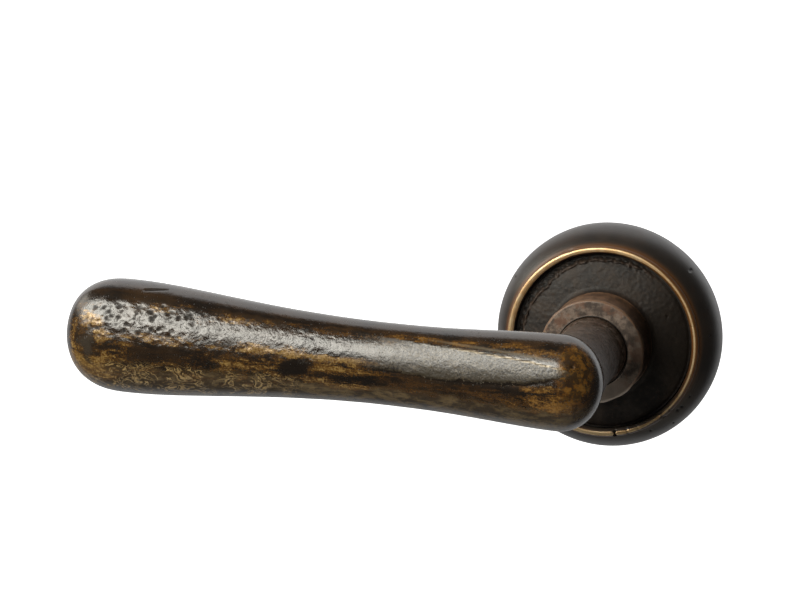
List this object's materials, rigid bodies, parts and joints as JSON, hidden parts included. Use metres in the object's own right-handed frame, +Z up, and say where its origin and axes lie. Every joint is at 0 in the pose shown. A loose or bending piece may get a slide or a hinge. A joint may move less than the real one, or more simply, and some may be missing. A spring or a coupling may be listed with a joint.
{
  "type": "door lever handle",
  "caption": "Rustic bronze door lever on a round domed rose, with a sprung cassette behind the rose, a square spindle and through fixings.",
  "frame": {"origin": "centre of the base plate's back face, on the door's face and on the spindle's axis", "axes": "+Y along the spindle into the door, -Y towards the hand, +Z up, and the grip points along -X"},
  "size_m": [0.1367, 0.1292, 0.052],
  "materials": {
    "lever_bronze": "cast bronze with dark brown patina, worn golden, satin with pits",
    "ring_bronze": "smooth dark brown patina, satin, with a polished golden bead",
    "dish_bronze": "rough cast dark brown patina",
    "plate_casting": "die-cast zinc, matt",
    "plain_steel": "bright zinc-plated steel",
    "spring_steel": "dark oiled spring steel",
    "nylon": "natural nylon, matt"
  },
  "bodies": {
    "base": {"base_plate": "plate_casting", "cover_clip_ring": "nylon", "front_bush": "nylon", "rear_bush": "nylon", "cassette_cover": "plain_steel", "cassette_rivets": "plain_steel", "return_spring": "spring_steel", "through_bolts": "plain_steel", "bolt_washers": "plain_steel", "wood_screws": "plain_steel"},
    "cover": {"rose_ring": "ring_bronze", "rose_dish": "dish_bronze", "neck_guide_ring": "nylon"},
    "lever": {"lever": "lever_bronze", "spindle": "plain_steel", "grub_screw": "spring_steel", "thrust_washer": "plain_steel", "dished_washer": "spring_steel", "circlip": "spring_steel", "spring_driver": "plain_steel"}
  },
  "joints": [
    {"name": "lever_turn", "type": "hinge", "parent": "base", "child": "lever", "pos_m": [0, 0, 0], "axis": [0, -1, 0], "range_deg": [0, 45], "stiffness_Nm_per_rad": 0.38, "springref_deg": -40.11, "deforming": ["return_spring"]},
    {"name": "cover_slide", "type": "slide", "parent": "base", "child": "cover", "axis": [0, -1, 0], "range_m": [0, 0.014]}
  ]
}
